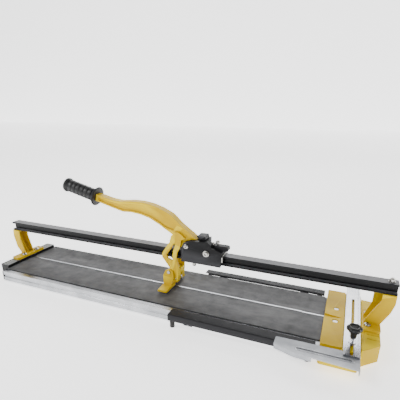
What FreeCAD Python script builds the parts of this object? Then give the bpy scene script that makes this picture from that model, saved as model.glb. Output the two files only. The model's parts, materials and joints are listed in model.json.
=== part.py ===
"""Manual tile cutter: bed with pads, guide rail on two columns, carriage with a breaking lever,
side supports that pull out and a sliding fence with a clamp knob.

Frame: origin at the centre of the footprint on the ground, +X along the rail towards the fence,
+Y towards the back, +Z up. Millimetres.
"""
import FreeCAD, Part
import math
import os
from FreeCAD import Placement, Rotation, Vector

doc = FreeCAD.newDocument("tile_cutter")
sheet = doc.addObject("Spreadsheet::Sheet", "dims")

# ---------------------------------------------------------------- driving dimensions
SIZES = {
    "rail_length": 1207, "rail_top": 169, "rail_bottom": 141, "rail_width": 27.8,
    "flange_thick": 5, "web_thick": 7,
    "pad_left": -547.5, "pad_right": 452.5, "pad_top": 42, "pad_thick": 4,
    "pad_outer": 109.5, "pad_rear_outer": 106, "pad_inner": 4,
    "rib_width": 5, "rib_top": 42.6, "rib_joint": 396,
    "table_half": 127, "table_bottom": 7, "table_top": 38, "lip_top": 39, "lip_inner": 111,
    "bar_width": 35, "bar_top": 50.5, "bar_front": -104, "bar_rear": 101.5,
    "foot_plate": 8, "column_half": 18, "column_wall": 4,
    "block_top": 46, "channel_left": 499.5, "channel_right": 540.5, "channel_floor": 42.7,
    "step_top": 50, "base_right": 582,
    "ruler_left": 502.5, "ruler_width": 36, "ruler_bottom": 43, "ruler_top": 47.5, "strip_top": 49,
    "ruler_front": -150, "ruler_rear": 190, "slot_width": 7, "slot_front": -147, "slot_rear": 110,
    "arm_thick": 2, "knob_x": 520.5, "knob_y": -100, "knob_radius": 17, "stud_radius": 3,
    "bar_left": 73, "bar_right": 444, "bar_inner": 118, "bar_outer": 150, "bar_bottom": 23,
    "sheet_thick": 2.5, "rod_radius": 4, "rod_height": 24, "rod_left": 130, "rod_right": 387,
    "lug_width": 18, "pivot_x": 71, "pivot_z": 185, "pivot_radius": 5, "lug_half": 12,
    "house_half": 25, "house_left": 56, "house_right": 175, "house_bottom": 139,
    "roller_radius": 8.8, "roller_width": 7, "roller_left": 84, "roller_right": 150,
    "roller_height": 155, "roller_inner": 4.2, "axle_radius": 2.5,
    "leg_inner": 15.6, "leg_outer": 21, "arm_half": 11,
    "wheel_x": 35, "wheel_z": 76, "wheel_radius": 11, "pin_x": 16, "pin_z": 98, "pin_radius": 3,
    "wing_half": 62, "wing_bottom": 48, "wing_top": 55,
    "grip_radius": 19, "grip_length": 115, "guard_radius": 29,
    "tang_half": 6.5, "tang_inside": 12, "tang_outside": 104,
    "running_gap": 0.05,
}
for row, (alias, value) in enumerate(SIZES.items(), start=1):
    cell = "A%d" % row
    sheet.set(cell, str(value))
    sheet.setAlias(cell, alias)
doc.recompute()

D = type("Dims", (), SIZES)
pieces = []
cuts = []


def bind(obj, prop, value):
    """Bind a property to the sheet: words are an expression in its aliases, numbers stay numbers."""
    text = str(value)
    for alias in sorted(SIZES, key=len, reverse=True):
        text = text.replace(alias, "dims.#" + str(list(SIZES).index(alias)) + "#")
    for index, alias in enumerate(SIZES):
        text = text.replace("#%d#" % index, alias)
    obj.setExpression(prop, text)


def outline(points):
    """Closed outline from (a, b) or (a, b, radius) corners; a radius rounds that corner with an arc."""
    corners = [(Vector(p[0], p[1], 0), p[2] if len(p) > 2 else 0) for p in points]
    count = len(corners)
    ends = []
    for index, (corner, radius) in enumerate(corners):
        before = (corners[index - 1][0] - corner).normalize()
        after = (corners[(index + 1) % count][0] - corner).normalize()
        if radius == 0:
            ends.append((corner, None, corner))
            continue
        half = before.getAngle(after) / 2
        reach = radius / math.tan(half)
        middle = corner + (before + after).normalize() * (radius / math.sin(half) - radius)
        ends.append((corner + before * reach, middle, corner + after * reach))
    shapes = []
    for index, (start, middle, end) in enumerate(ends):
        if middle is not None:
            shapes.append(Part.Arc(start, middle, end))
        following = ends[(index + 1) % count][0]
        if end.distanceToPoint(following) > 1e-6:
            shapes.append(Part.LineSegment(end, following))
    return shapes


def rect(a0, b0, a1, b1, radius=0):
    return outline([(a0, b0, radius), (a1, b0, radius), (a1, b1, radius), (a0, b1, radius)])


def disc(a, b, radius):
    return [Part.Circle(Vector(a, b, 0), Vector(0, 0, 1), radius)]


def slot(a, b0, b1, width):
    """Round-ended slot along the second axis."""
    half = width / 2
    return rect(a - half, b0, a + half, b1, half - 0.001)


class Body:
    """A PartDesign body built from sketches on its own origin planes.

    Sketch axes are (x, y) on XY, (x, z) on XZ and (y, z) on YZ. Every pad or pocket fills the span
    from low to high along the plane's normal axis.
    """

    def __init__(self, name):
        self.body = doc.addObject("PartDesign::Body", name)
        self.body.Label = name
        self.name = name
        self.count = 0
        pieces.append(self.body)

    def sketch(self, plane, shapes, position):
        self.count += 1
        sketch = self.body.newObject("Sketcher::SketchObject", "%s_sketch_%d" % (self.name, self.count))
        origin = [f for f in self.body.Origin.OriginFeatures if f.Role == plane + "_Plane"][0]
        sketch.AttachmentSupport = [(origin, "")]
        sketch.MapMode = "FlatFace"
        bind(sketch, "AttachmentOffset.Base.z", position)
        sketch.addGeometry([shape for group in shapes for shape in group], False)
        return sketch

    def pad(self, plane, low, high, *shapes):
        start = "-(%s)" % high if plane == "XZ" else low
        feature = self.body.newObject("PartDesign::Pad", "%s_pad_%d" % (self.name, self.count))
        feature.Profile = self.sketch(plane, shapes, start)
        bind(feature, "Length", "(%s) - (%s)" % (high, low))
        self.body.Tip = feature
        return self

    def cut(self, plane, low, high, *shapes):
        start = "-(%s)" % low if plane == "XZ" else high
        feature = self.body.newObject("PartDesign::Pocket", "%s_cut_%d" % (self.name, self.count))
        feature.Profile = self.sketch(plane, shapes, start)
        bind(feature, "Length", "(%s) - (%s)" % (high, low))
        self.body.Tip = feature
        cuts.append((self.body, feature))
        return self


def cylinder(name, radius, length, x, y, z, axis="Z"):
    """A Part cylinder whose sizes and place are bound; it starts at the point and runs along its axis."""
    shape = doc.addObject("Part::Cylinder", name)
    turn = {"Z": Rotation(), "Y": Rotation(Vector(1, 0, 0), -90), "X": Rotation(Vector(0, 1, 0), 90)}
    shape.Placement = Placement(Vector(), turn[axis])
    bind(shape, "Radius", radius)
    bind(shape, "Height", length)
    bind(shape, "Placement.Base.x", x)
    bind(shape, "Placement.Base.y", y)
    bind(shape, "Placement.Base.z", z)
    return shape


def box(name, x0, x1, y0, y1, z0, z1):
    shape = doc.addObject("Part::Box", name)
    bind(shape, "Length", "(%s) - (%s)" % (x1, x0))
    bind(shape, "Width", "(%s) - (%s)" % (y1, y0))
    bind(shape, "Height", "(%s) - (%s)" % (z1, z0))
    bind(shape, "Placement.Base.x", x0)
    bind(shape, "Placement.Base.y", y0)
    bind(shape, "Placement.Base.z", z0)
    return shape


def fuse(name, *shapes):
    joined = doc.addObject("Part::MultiFuse", name)
    joined.Shapes = list(shapes)
    return joined


def group(name, *shapes):
    """Separate solids, such as identical fasteners, kept together as one sub-part."""
    together = doc.addObject("Part::Compound", name)
    together.Links = list(shapes)
    return together


def subtract(name, base, tool):
    result = doc.addObject("Part::Cut", name)
    result.Base = base
    result.Tool = tool
    return result


def keep(shape):
    shape.Label = shape.Name
    pieces.append(shape)
    return shape


def screw(name, x, y, z, head_radius, head_height, shank_radius, shank_length, sign=1, axis="Z"):
    """Head above the point and shank below it along the axis; sign -1 turns it over."""
    head_start = {"Z": [x, y, z], "Y": [x, y, z], "X": [x, y, z]}[axis]
    shank_start = list(head_start)
    index = "XYZ".index(axis)
    if sign < 0:
        head_start[index] = "(%s) - %s" % (head_start[index], head_height)
    else:
        shank_start[index] = "(%s) - %s" % (shank_start[index], shank_length)
    head = cylinder(name + "_head", head_radius, head_height, *head_start, axis=axis)
    shank = cylinder(name + "_shank", shank_radius, shank_length, *shank_start, axis=axis)
    return fuse(name, head, shank)


# ---------------------------------------------------------------- bed
def table_profile():
    """Extruded bed: top plate, a lip and grooved side rail along the front edge, a plain rear edge."""
    front_edge = [(-127, 7), (-127, 20), (-124, 22), (-124, 26), (-127, 28), (-127, 39), (-111, 39),
                  (-111, 38)]
    rear_edge = [(109, 38), (109, 7)]
    rear_inside = [(98, 7), (98, 10), (104, 10), (104, 34), (12, 34), (12, 10), (8, 7)]
    front_inside = [(-8, 7), (-12, 10), (-12, 34), (-121, 34), (-121, 10), (-113, 10), (-113, 7)]
    points = front_edge + rear_edge + rear_inside + front_inside
    bed = Body("table_profile").pad("YZ", "pad_left", "pad_right", outline(points))
    for low, high in (("-(table_half + 1)", "-120"), ("103", "110")):
        holes = [disc(x, D.rod_height, D.rod_radius + 0.3) for x in (D.rod_left, D.rod_right)]
        bed.cut("XZ", low, high, *holes)


def pads_and_rib():
    y0, y1 = -D.pad_outer, -D.pad_inner
    shape = rect(D.pad_left + 0.3, y0, D.pad_right - 0.3, y1, 2)
    Body("front_pad").pad("XY", "pad_top - pad_thick", "pad_top", shape)
    shape = outline([(D.pad_left + 0.3, D.pad_inner, 2), (D.pad_right - 0.3, D.pad_inner, 2),
                     (D.pad_right - 0.3, D.pad_rear_outer, 12), (D.pad_left + 0.3, D.pad_rear_outer, 4)])
    Body("rear_pad").pad("XY", "pad_top - pad_thick", "pad_top", shape)
    keep(box("breaking_rib", "pad_left + 0.3", "rib_joint - 0.3", "-rib_width / 2", "rib_width / 2",
             "table_top", "rib_top"))
    keep(box("rib_end_piece", "rib_joint", "pad_right - 0.3", "-rib_width / 2 - 1", "rib_width / 2 - 1",
             "table_top", "rib_top - 0.3"))


def end_stop_bar():
    """Black bar across the left end that tiles are pushed against, bolted to the end of the bed."""
    left = D.pad_left - D.bar_width
    plan = outline([(left, D.bar_front, 3), (D.pad_left, D.bar_front, 3),
                    (D.pad_left, D.bar_rear, 3), (left, D.bar_rear, 3)])
    bar = Body("end_stop_bar").pad("XY", "table_bottom", "bar_top", plan)
    for y0, y1 in ((-100, -61), (56, 98)):
        bar.cut("XY", "bar_top - 1", "bar_top + 1", rect(left + 6, y0, D.pad_left - 5, y1, 1))
    strips = []
    for name, y0, y1 in (("front_scale", -99.5, -61.5), ("rear_scale", 56.5, 97.5)):
        strips.append(box(name, "pad_left - 28.5", "pad_left - 5.5", y0, y1, "bar_top - 1", "bar_top - 0.2"))
    keep(group("stop_scale_strips", *strips))
    caps = []
    for name, low, high in (("front_cap", -126, -105), ("rear_cap", 102, 109)):
        caps.append(box(name, "pad_left - 6", "pad_left", low, high, 8, 37.5))
    keep(group("side_rail_caps", *caps))
    bolts = []
    for number, y in enumerate((-70, 0, 70)):
        bolts.append(screw("end_bolt_%d" % number, "pad_left - bar_width", y, 22, 5, 4, 3, 30,
                           sign=-1, axis="X"))
    keep(group("end_bar_bolts", *bolts))
    bar.cut("YZ", "pad_left - 0.5", "pad_left + 1", rect(-105, 42.8, 102.5, 51))
    bar.cut("XY", "bar_top - 16", "bar_top + 1", *[disc(x, y, 3.0) for x, y in LEFT_HOLES])
    bar.cut("YZ", "pad_left - bar_width - 1", "pad_left - 4", *[disc(y, 22, 3.0) for y in (-70, 0, 70)])


def feet():
    """Rubber feet under the ends of the bed."""
    blocks = []
    spots = [(-565, -80), (-565, 80), (515, -105), (515, 95)]
    for number, (x, y) in enumerate(spots):
        blocks.append(cylinder("foot_%d" % number, 11, "table_bottom", x, y, 0))
    keep(group("rubber_feet", *blocks))


def extension_guides():
    """Four guide blocks under the bed that carry the rods of the side supports."""
    blocks = []
    for side, sign in (("front", -1), ("rear", 1)):
        for end in ("rod_left", "rod_right"):
            name = "%s_%s_guide" % (side, end)
            low, high = sorted((sign * 30, sign * 104))
            block = box(name + "_block", end + " - 11", end + " + 11", low, high, "rod_height - 9", 34)
            bore = cylinder(name + "_bore", "rod_radius + running_gap", 90, end, low - 5, "rod_height", "Y")
            blocks.append(subtract(name, block, bore))
    keep(group("extension_guides", *blocks))


# ---------------------------------------------------------------- columns and rail
def column(name, flange, far_flange, web, foot, foot_top, holes):
    """Cast column: two side flanges, an outer web, a middle rib, a top pad and a foot plate."""
    post = Body(name)
    post.pad("XY", "%s - foot_plate" % foot_top, foot_top, foot)
    post.pad("XZ", "-column_half", "column_wall - column_half", outline(flange))
    post.pad("XZ", "column_half - column_wall", "column_half", outline(far_flange))
    post.pad("XZ", "-column_half", "column_half", outline(web))
    x0 = min(p[0] for p in flange[:2])
    x1 = max(p[0] for p in flange[:2])
    post.pad("XY", "rail_bottom - 5", "rail_bottom", rect(x0, -D.column_half, x1, D.column_half))
    hole_x = (x0 + x1) / 2
    post.cut("XY", "rail_bottom - 8", "rail_bottom + 1", disc(hole_x, 0, 3.3))
    bolt_holes = [disc(x, y, 3.3) for x, y in holes]
    post.cut("XY", "%s - foot_plate - 1" % foot_top, "%s + 1" % foot_top, *bolt_holes)
    return post


LEFT_HOLES = [(-558, -26.5), (-558, 26.5)]
RIGHT_HOLES = [(552, -27), (552, 27)]
LEFT_RAIL_BOLT = -589.0
RIGHT_RAIL_BOLT = 588.0


def columns():
    foot = outline([(-580, -59, 5), (-549.5, -59, 5), (-549.5, 54, 5), (-580, 54, 5)])
    flange = [(-602, 141), (-576, 141), (-576, 112, 20), (-562, 58), (-580, 58), (-595, 80, 14),
              (-603.5, 118, 14)]
    web = [(-602, 141), (-597, 141), (-598.5, 118, 10), (-591, 82, 14), (-573, 58), (-580, 58.5),
           (-596, 80, 14), (-603.5, 118, 14)]
    post = column("left_column", flange, flange, web, foot, "bar_top + foot_plate", LEFT_HOLES)
    post.pad("XZ", "-2", "2", outline([(-601, 134), (-596.5, 134), (-592, 112), (-568, 58), (-577, 58),
                                       (-594, 82), (-602, 118)]))
    foot = rect(541, -48, 581, 48, 5)
    outer_edge = [(603, 141), (603, 120, 14), (597, 96, 20), (578, 57.5), (543, 57.5), (545, 66, 6)]
    flange = [(573, 141)] + outer_edge + [(573, 124, 30)]
    far_flange = [(557, 141)] + outer_edge + [(557, 100, 20)]
    web = [(598, 141), (603, 141), (603, 120, 14), (597, 96, 20), (578, 57.5), (571, 57.5),
           (592, 97, 20), (598, 121, 14)]
    post = column("right_column", flange, far_flange, web, foot, "step_top + foot_plate", RIGHT_HOLES)
    post.pad("XZ", "-2", "2", outline([(595, 134), (600, 134), (600, 120), (594, 96), (575, 57.5),
                                       (566, 57.5), (582, 100), (594, 122)]))


def guide_rail():
    """I-section rail with a channel along each side for the rollers."""
    half = D.rail_width / 2
    web = D.web_thick / 2
    top = D.rail_top
    low = D.rail_bottom
    thick = D.flange_thick
    points = [(-half, low), (half, low), (half, low + thick), (web, low + thick), (web, top - thick),
              (half, top - thick), (half, top), (-half, top), (-half, top - thick), (-web, top - thick),
              (-web, low + thick), (-half, low + thick)]
    rail = Body("guide_rail").pad("YZ", "-rail_length / 2", "rail_length / 2", outline(points))
    rail.cut("XY", "rail_bottom - 1", "rail_bottom + 16", disc(LEFT_RAIL_BOLT, 0, 3.3))
    rail.cut("XY", "rail_bottom - 1", "rail_top + 1", disc(RIGHT_RAIL_BOLT, 0, 3.3))


def fasteners():
    def hex_nut(name, x, y, z, across, height):
        prism = doc.addObject("Part::Prism", name)
        prism.Polygon = 6
        bind(prism, "Circumradius", across / math.sqrt(3))
        bind(prism, "Height", height)
        bind(prism, "Placement.Base.x", x)
        bind(prism, "Placement.Base.y", y)
        bind(prism, "Placement.Base.z", z)
        return prism

    bolts = []
    for name, x, length in (("left", LEFT_RAIL_BOLT, "20"),
                            ("right", RIGHT_RAIL_BOLT, "rail_top - rail_bottom + 16.5")):
        head = hex_nut(name + "_bolt_head", x, 0, "rail_bottom - 9.3", 10, 4.3)
        shank = cylinder(name + "_bolt_shank", 3, length, x, 0, "rail_bottom - 6")
        bolts.append(fuse(name + "_rail_bolt", head, shank))
    keep(group("rail_bolts", *bolts))
    washer = cylinder("rail_nut_washer", 8, 1.6, RIGHT_RAIL_BOLT, 0, "rail_top")
    nut = hex_nut("rail_nut_hex", RIGHT_RAIL_BOLT, 0, "rail_top + 1.6", 12, 6)
    bore = cylinder("rail_nut_bore", 3, 12, RIGHT_RAIL_BOLT, 0, "rail_top - 1")
    keep(subtract("rail_nut", fuse("rail_nut_stack", washer, nut), bore))
    for name, holes, level in (("left_column_bolts", LEFT_HOLES, "bar_top + foot_plate"),
                               ("right_column_bolts", RIGHT_HOLES, "step_top + foot_plate")):
        screws = []
        for number, (x, y) in enumerate(holes):
            screws.append(screw("%s_%d" % (name, number), x, y, level, 8, 6, 3, 22))
        keep(group(name, *screws))


# ---------------------------------------------------------------- right-hand base
def right_base():
    """Casting at the fence end: two raised blocks with the ruler's channel between them."""
    base = Body("right_base")
    plan = [(452.5, -126, 3), (499.5, -126), (543, -125), (580, -92, 4), (582, 105, 4), (540.5, 112),
            (540.5, 140), (499.5, 144), (452.5, 144, 6)]
    base.pad("XY", "table_bottom", "channel_floor", outline(plan))
    base.pad("XY", "table_bottom", "block_top", rect(452.5, -126, D.channel_left, 144, 3))
    step = [(540.5, -125), (544, -125), (580, -92, 4), (582, 105, 4), (540.5, 112)]
    base.pad("XY", "table_bottom", "step_top", outline(step))
    base.pad("XY", "22", "36", rect(452.5, -170, 535, -110, 6))
    base.cut("XZ", "-92", "80", outline([(470, 5), (562, 5), (562, 30, 4), (470, 30, 4)]))
    base.cut("XY", "block_top - 3.5", "block_top + 1",
             outline([(452, -9), (452, 9), (494, 1.2, 1), (494, -1.2, 1)]))
    base.cut("XY", "block_top - 3", "block_top + 1", disc(480, 43, 7.5), disc(480, -19, 7.5))
    base.cut("XY", "channel_floor - 9", "channel_floor + 1", disc(D.knob_x, D.knob_y, 6))
    base.cut("XY", "step_top - 16", "step_top + 1", *[disc(x, y, 3.0) for x, y in RIGHT_HOLES])
    for y in (-38, -56, -74):
        base.cut("XZ", y - 1.0, y + 1.0, outline([(552, 51), (552, 48.8), (583, 48.8), (583, 51)]))
    screws = []
    for number, y in enumerate((43, -19)):
        screws.append(cylinder("block_screw_%d" % number, 6.2, 1.5, 480, y, "block_top - 3"))
    keep(group("block_screws", *screws))
    insert = cylinder("clamp_nut_body", 6, 9, "knob_x", "knob_y", "channel_floor - 9")
    thread = cylinder("clamp_nut_bore", "stud_radius + running_gap", 12, "knob_x", "knob_y",
                      "channel_floor - 10")
    keep(subtract("clamp_nut", insert, thread))


# ---------------------------------------------------------------- fence
def fence():
    left = D.ruler_left
    right = left + D.ruler_width
    middle = D.knob_x
    ruler = Body("fence_ruler")
    ruler.pad("XY", "ruler_bottom", "ruler_top", rect(left, D.ruler_front, right, D.ruler_rear, 1))
    strips = [rect(left + 1.5, D.ruler_front, middle - 4.5, D.ruler_rear, 0),
              rect(middle + 4.5, D.ruler_front, right - 1.5, D.ruler_rear, 0)]
    ruler.pad("XY", "ruler_bottom", "strip_top", *strips)
    ruler.cut("XY", "ruler_bottom - 1", "strip_top + 1",
              slot(middle, D.slot_front, D.slot_rear, D.slot_width))
    ruler.cut("XY", "ruler_bottom - 1", "ruler_bottom + arm_thick",
              rect(left - 1, D.ruler_front - 1, right + 1, -128))
    holes = [disc(x, y, 2.0) for x in (left + 7, right - 7) for y in (-143, -134)]
    ruler.cut("XY", "ruler_bottom", "strip_top + 1", *holes)

    arm = Body("fence_arm")
    plan = [(355, -138, 3), (355, -168, 3), (402, -183, 10), (right, -190, 2), (right, -128.5),
            (left, -128.5), (left, -134)]
    arm.pad("XY", "ruler_bottom", "ruler_bottom + arm_thick", outline(plan))
    arm.cut("XY", "ruler_bottom + arm_thick / 2", "ruler_bottom + arm_thick + 1",
            rect(404, -168.5, 526, -161, 3.7))
    arm.cut("XY", "ruler_bottom - 1", "ruler_bottom + arm_thick + 1",
            slot(middle, D.slot_front, -120, D.slot_width))
    arm.cut("XY", "ruler_bottom - 1", "ruler_bottom + arm_thick + 1", *holes)
    arm.pad("XY", "33", "ruler_bottom + 1",
            outline([(356, -166.3), (402.5, -181, 10), (441, -182.7), (441, -184.7), (402, -183, 10),
                     (356, -168.3)]))
    arm.pad("XY", "33", "ruler_bottom + 1", rect(right - 2, -190, right, -182))
    rivets = []
    for number, (x, y) in enumerate([(x, y) for x in (left + 7, right - 7) for y in (-143, -134)]):
        rivets.append(cylinder("rivet_%d" % number, 2.0, "strip_top - ruler_bottom + 0.8", x, y,
                               "ruler_bottom"))
    keep(group("fence_rivets", *rivets))


def clamp_knob():
    """Six-lobed knob on a stud that passes through the ruler's slot into the nut in the base."""
    knob = Body("clamp_knob")
    knob.pad("XY", "62", "71", disc(D.knob_x, D.knob_y, 6.5))
    knob.pad("XY", "70", "81", disc(D.knob_x, D.knob_y, 9.5))
    knob.pad("XY", "80", "92", disc(D.knob_x, D.knob_y, D.knob_radius))
    notches = []
    for index in range(6):
        angle = math.radians(30 + 60 * index)
        reach = D.knob_radius + 3
        notches.append(disc(D.knob_x + reach * math.cos(angle), D.knob_y + reach * math.sin(angle), 6))
    knob.cut("XY", "79.5", "93", *notches)
    knob.cut("XY", "61", "86", disc(D.knob_x, D.knob_y, 3))
    keep(cylinder("clamp_stud", "stud_radius", "86 - channel_floor + 7", "knob_x", "knob_y",
                  "channel_floor - 7"))
    washer = cylinder("clamp_washer_disc", 8, 1.5, "knob_x", "knob_y", "strip_top + 0.3")
    hole = cylinder("clamp_washer_bore", "stud_radius", 4, "knob_x", "knob_y", "strip_top - 1")
    keep(subtract("clamp_washer", washer, hole))


# ---------------------------------------------------------------- side supports
def side_support(side, sign):
    """Angle bar along one edge of the bed on two rods that slide in the guides."""
    top = D.pad_top + 0.4
    skin = D.sheet_thick
    inner = D.bar_inner
    outer = D.bar_outer if sign < 0 else D.bar_outer - 6
    section = [(inner, top), (inner, top - skin), (outer - skin, top - skin), (outer - skin, D.bar_bottom),
               (outer, D.bar_bottom), (outer, top, 3)]
    bar = Body("%s_extension_bar" % side)
    bar.pad("YZ", "bar_left", "bar_right", outline([(sign * p[0],) + tuple(p[1:]) for p in section]))
    rods = []
    blocks = []
    for end in ("rod_left", "rod_right"):
        low, high = sorted((sign * (outer - skin), sign * 20))
        rods.append(cylinder("%s_%s" % (side, end), "rod_radius", high - low, end, low, "rod_height", "Y"))
        low, high = sorted((sign * (outer - skin - 0.001), sign * 130))
        block = box("%s_%s_block_solid" % (side, end), end + " - 12", end + " + 12", low, high,
                    "rod_height - 0.5 - rod_radius - 1", "pad_top + 0.4 - sheet_thick")
        bore = cylinder("%s_%s_block_bore" % (side, end), "rod_radius", 60, end, min(low, high) - 10,
                        "rod_height", "Y")
        blocks.append(subtract("%s_%s_block" % (side, end), block, bore))
    keep(group("%s_guide_rods" % side, *rods))
    keep(group("%s_rod_blocks" % side, *blocks))
    feet_pair = []
    for number, x in enumerate(("bar_left + 9", "bar_right - 14")):
        name = "%s_leg_%d" % (side, number)
        feet_pair.append(cylinder(name, 6.5, "pad_top + 0.4 - sheet_thick - 1", x, sign * (outer - 9.5), 1))
    keep(group("%s_extension_legs" % side, *feet_pair))


# ---------------------------------------------------------------- carriage
def carriage():
    """Cast housing that straddles the rail; a slot on top takes the lever's lug and tail."""
    side = [(56, 139), (56, 180, 8), (64, 196, 8), (83, 204, 6), (101, 204), (133, 207, 4), (144, 200, 3),
            (145, 190, 3), (175, 181, 3), (175, 158), (172, 139)]
    house = Body("carriage_housing").pad("XZ", "-house_half", "house_half", outline(side))
    house.cut("YZ", "house_left - 1", "house_right + 1",
              outline([(-15.2, 130), (15.2, 130), (15.2, 171.5), (-15.2, 171.5)]))
    house.cut("XZ", "-lug_half - 0.6", "lug_half + 0.6",
              outline([(50, 171), (96, 171), (105, 190), (105, 215), (50, 215)]))
    house.pad("XZ", "-14", "14",
              outline([(96, 217.5, 2), (124, 218.5, 2), (126, 201), (106, 201), (106, 209.5, 2)]))
    house.cut("XZ", "-lug_width / 2", "lug_width / 2", rect(134, 181, 190, 215))
    house.cut("XZ", "lug_width / 2 - 1", "house_half + 1", rect(128, 190, 152, 215))
    house.cut("XZ", "-house_half - 1", "house_half + 1", disc(D.pivot_x, D.pivot_z, D.pivot_radius))
    house.cut("XZ", "3 - house_half", "house_half - 3",
              *[disc(x, D.roller_height, D.axle_radius) for x in (D.roller_left, D.roller_right)])
    house.cut("XZ", "-house_half - 1", "-15", disc(131, 173.6, 2.4))
    house.cut("XY", "138", "150", disc(94, -20.5, 2.4))
    lug = Body("rail_lug").pad("XZ", "-lug_width / 2", "lug_width / 2",
                               outline([(134, 181), (189, 181, 6.5), (189, 195, 6.5), (134, 195)]))
    lug.cut("XY", "183", "200", disc(142, 0, 3), disc(156, 0, 3))


def carriage_fittings():
    gap = "running_gap"
    head = cylinder("pivot_head", 7.5, 4, "pivot_x", "-house_half - 4", "pivot_z", "Y")
    shank = cylinder("pivot_shank", "pivot_radius", "2 * house_half + 6", "pivot_x", "-house_half - 0.5",
                     "pivot_z", "Y")
    keep(fuse("lever_pivot_bolt", head, shank))
    nut = cylinder("pivot_nut_disc", 8, 5, "pivot_x", "house_half", "pivot_z", "Y")
    bore = cylinder("pivot_nut_bore", "pivot_radius", 8, "pivot_x", "house_half - 1", "pivot_z", "Y")
    keep(subtract("pivot_nut", nut, bore))
    washer = cylinder("clamp_bolt_washer", 9, 1.6, 131, "-house_half - 1.6", 173.6, "Y")
    cap = cylinder("clamp_bolt_cap", 6.5, 5, 131, "-house_half - 6.5", 173.6, "Y")
    stem = cylinder("clamp_bolt_stem", 2.4, 12, 131, "-house_half - 2", 173.6, "Y")
    socket = cylinder("clamp_bolt_socket", 3, 4, 131, "-house_half - 7.5", 173.6, "Y")
    whole = fuse("clamp_bolt_solid", washer, cap, stem)
    keep(subtract("carriage_clamp_bolt", whole, socket))
    domes = []
    for number, (x, seat) in enumerate(((142, 195), (156, 202.5))):
        domes.append(screw("dome_%d" % number, x, 0, seat, 6, 5, 3, seat - 186))
    domes[1] = fuse("dome_on_nut", domes[1], cylinder("dome_nut", 6, 7.5, 156, 0, 195))
    keep(group("hood_screws", *domes))
    keep(screw("bottom_screw", 94, -20.5, 139, 5, 8, 2.4, 9, sign=-1))
    axles = []
    for end in ("roller_left", "roller_right"):
        for side, low, high in (("front", "3 - house_half", "-roller_inner"),
                                ("rear", "roller_inner", "house_half - 3")):
            axles.append(cylinder("%s_%s_axle" % (side, end), "axle_radius", "(%s) - (%s)" % (high, low),
                                  end, low, "roller_height", "Y"))
    keep(group("roller_axles", *axles))
    wiper = Body("rail_wiper")
    wiper.pad("YZ", "house_right + 0.1", "house_right + 3", rect(-24, 150, 24, 173, 6))
    wiper.cut("YZ", "house_right", "house_right + 4", rect(-14.6, 130, 14.6, 170.2))
    for end, where in (("left", "roller_left"), ("right", "roller_right")):
        for side, low, high in (("front", "-roller_inner - roller_width - 0.8", "-roller_inner - 0.8"),
                                ("rear", "roller_inner + 0.8", "roller_inner + roller_width + 0.8")):
            name = "%s_%s_roller" % (side, end)
            tyre = cylinder(name + "_disc", "roller_radius", "roller_width", where, low, "roller_height", "Y")
            bore = cylinder(name + "_bore", "axle_radius + " + gap, 20, where, "(%s) - 5" % low,
                            "roller_height", "Y")
            keep(subtract(name, tyre, bore))


# ---------------------------------------------------------------- lever
GRIP_START = Vector(-231.5, 0, 292.2)
GRIP_TILT = 13.9


def tang_side(inside, outside):
    """Side view of the square tang, from inside the arm to inside the grip."""
    along = Vector(-math.cos(math.radians(GRIP_TILT)), 0, math.sin(math.radians(GRIP_TILT)))
    across = Vector(along.z, 0, -along.x) * D.tang_half
    corners = [GRIP_START - along * inside - across, GRIP_START + along * outside - across,
               GRIP_START + along * outside + across, GRIP_START - along * inside + across]
    return outline([(corner.x, corner.z) for corner in corners])


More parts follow.
